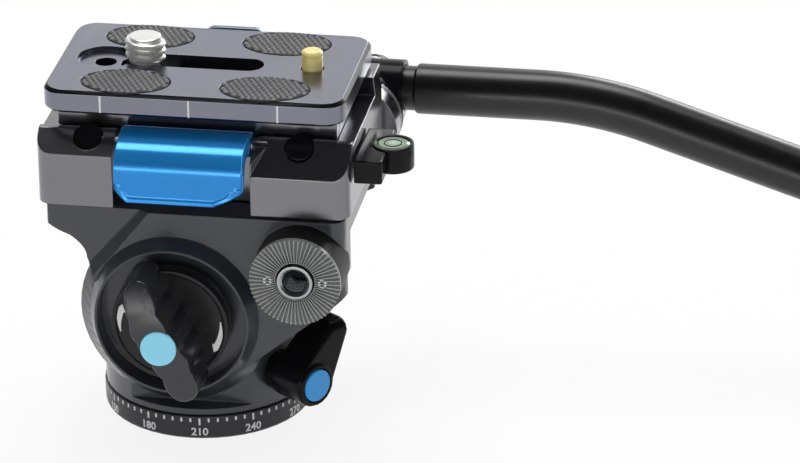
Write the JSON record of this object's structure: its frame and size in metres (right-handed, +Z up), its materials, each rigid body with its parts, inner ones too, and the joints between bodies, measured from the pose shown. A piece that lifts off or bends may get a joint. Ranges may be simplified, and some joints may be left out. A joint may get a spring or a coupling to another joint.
{
  "type": "fluid video head",
  "caption": "Compact fluid video head: panning base with a scale ring, tilting clamp for a sliding quick release plate, locks, level, and an angled pan bar.",
  "frame": {"origin": "centre of the foot's face that seats on the tripod, on the pan axis", "axes": "+Z up along the pan axis, +X to the rear along the camera plate, towards the pan bar's grip, -Y to the side of the tilt lock"},
  "size_m": [0.2781, 0.0978, 0.0917],
  "materials": {
    "casting": "satin black paint over cast metal, slightly worn edges",
    "clamp_paint": "semi-gloss black",
    "black_anodised": "black anodised, turned",
    "plate_anodised": "dark anodised, fine grain",
    "blue_anodised": "glossy blue anodised",
    "pale_blue": "pale blue, translucent look",
    "lock_cap_blue": "satin blue",
    "tilt_cap_blue": "satin light blue",
    "black_plastic": "moulded, fine texture",
    "pad_rubber": "cross-hatched",
    "handle_rubber": "matt foam rubber",
    "bar_paint": "satin black",
    "steel": "turned, bright",
    "brass": "turned, bright",
    "bronze": "sintered, dull",
    "bearing_plastic": "white, slippery",
    "vial": "clear green"
  },
  "bodies": {
    "base": {"base_drum": "black_anodised", "pan_spindle": "steel", "tripod_thread_bush": "steel", "pan_thrust_washer": "bearing_plastic", "pan_brake_drum": "steel", "base_screw_1": "steel", "base_screw_2": "steel", "base_screw_3": "steel"},
    "pan_unit": {"pan_housing": "casting", "pan_bearing_bush": "bronze", "pan_brake_shoe": "bronze", "tilt_axle": "steel", "tilt_drag_cartridge": "black_anodised", "counterbalance_spring": "steel", "tilt_friction_disc_near": "bronze", "tilt_friction_disc_far": "bronze"},
    "pan_lock": {"pan_lock_lever": "black_plastic", "pan_lock_cap": "lock_cap_blue", "pan_lock_screw": "steel"},
    "tilt_unit": {"tilt_cradle": "casting", "tilt_bush_near": "bronze", "tilt_bush_far": "bronze", "tilt_side_cover": "casting", "side_cover_screw_1": "steel", "side_cover_screw_2": "steel", "side_cover_screw_3": "steel", "rosette_near": "black_anodised", "rosette_near_screw_1": "steel", "rosette_near_screw_2": "steel", "rosette_near_insert": "steel", "rosette_far": "black_anodised", "clamp_body": "clamp_paint", "clamp_screw_1": "steel", "clamp_screw_2": "steel", "clamp_plug_front": "black_plastic", "clamp_plug_rear": "black_plastic", "clamp_lever_pin": "steel", "catch_pin": "steel", "level_housing": "black_plastic", "level_vial": "vial"},
    "tilt_lock": {"tilt_lock_knob": "black_plastic", "tilt_lock_cap": "tilt_cap_blue", "tilt_lock_screw": "steel"},
    "lever": {"clamp_lever": "blue_anodised"},
    "jaw": {"clamp_jaw": "clamp_paint"},
    "catch": {"safety_catch": "pale_blue"},
    "plate": {"quick_release_plate": "plate_anodised", "grip_pad_1": "pad_rubber", "grip_pad_2": "pad_rubber", "grip_pad_3": "pad_rubber", "grip_pad_4": "pad_rubber"},
    "screw_carriage": {"camera_screw_slider": "steel"},
    "screw": {"camera_screw": "steel"},
    "pin": {"video_pin": "brass"},
    "bar": {"pan_bar_lug": "black_plastic", "pan_bar_tube": "bar_paint", "pan_bar_grip": "handle_rubber", "pan_bar_end_cap": "black_plastic"},
    "bar_lock": {"pan_bar_lever": "black_plastic", "pan_bar_bolt": "steel"}
  },
  "joints": [
    {"name": "pan", "type": "hinge", "parent": "base", "child": "pan_unit", "pos_m": [0, 0, 0.0062], "axis": [0, 0, 1], "continuous": true},
    {"name": "tilt", "type": "hinge", "parent": "pan_unit", "child": "tilt_unit", "pos_m": [-0.0026, 0, 0.0317], "axis": [0, 1, 0], "range_deg": [-85, 15]},
    {"name": "pan_lock_turn", "type": "hinge", "parent": "pan_unit", "child": "pan_lock", "pos_m": [0, 0, 0.015], "axis": [0.809, -0.5878, 0], "range_deg": [-80, 3]},
    {"name": "tilt_lock_turn", "type": "hinge", "parent": "pan_unit", "child": "tilt_lock", "pos_m": [-0.0026, 0, 0.0317], "axis": [0, 1, 0], "range_deg": [-60, 60]},
    {"name": "clamp_lever_turn", "type": "hinge", "parent": "tilt_unit", "child": "lever", "pos_m": [0, -0.0186, 0.0736], "axis": [1, 0, 0], "range_deg": [-50, 0]},
    {"name": "jaw_slide", "type": "slide", "parent": "tilt_unit", "child": "jaw", "axis": [0, 1, 0], "range_m": [-0.0005, 0]},
    {"name": "catch_turn", "type": "hinge", "parent": "tilt_unit", "child": "catch", "pos_m": [0, 0.0224, 0.0706], "axis": [1, 0, 0], "range_deg": [-20, 0], "stiffness_Nm_per_rad": 0.02, "springref_deg": 8.59},
    {"name": "plate_slide", "type": "slide", "parent": "tilt_unit", "child": "plate", "axis": [1, 0, 0], "range_m": [-0.01, 0.01]},
    {"name": "screw_slide", "type": "slide", "parent": "plate", "child": "screw_carriage", "axis": [1, 0, 0], "range_m": [-0.002, 0.0235]},
    {"name": "screw_turn", "type": "hinge", "parent": "screw_carriage", "child": "screw", "pos_m": [-0.0127, 0, 0.08], "axis": [0, 0, 1], "continuous": true},
    {"name": "pin_press", "type": "slide", "parent": "plate", "child": "pin", "axis": [0, 0, -1], "range_m": [0, 0.0044], "stiffness_N_per_m": 150, "springref_m": -0.003},
    {"name": "bar_swing", "type": "hinge", "parent": "tilt_unit", "child": "bar", "pos_m": [0.0314, 0.032, 0.0604], "axis": [0, 1, 0], "range_deg": [-90, 90]},
    {"name": "bar_lock_turn", "type": "hinge", "parent": "tilt_unit", "child": "bar_lock", "pos_m": [0.0314, 0.05, 0.0604], "axis": [0, 1, 0], "continuous": true}
  ],
  "couplings": [
    {"joint": "clamp_lever_turn", "follows": "jaw_slide", "rad_per_m": 1745}
  ]
}
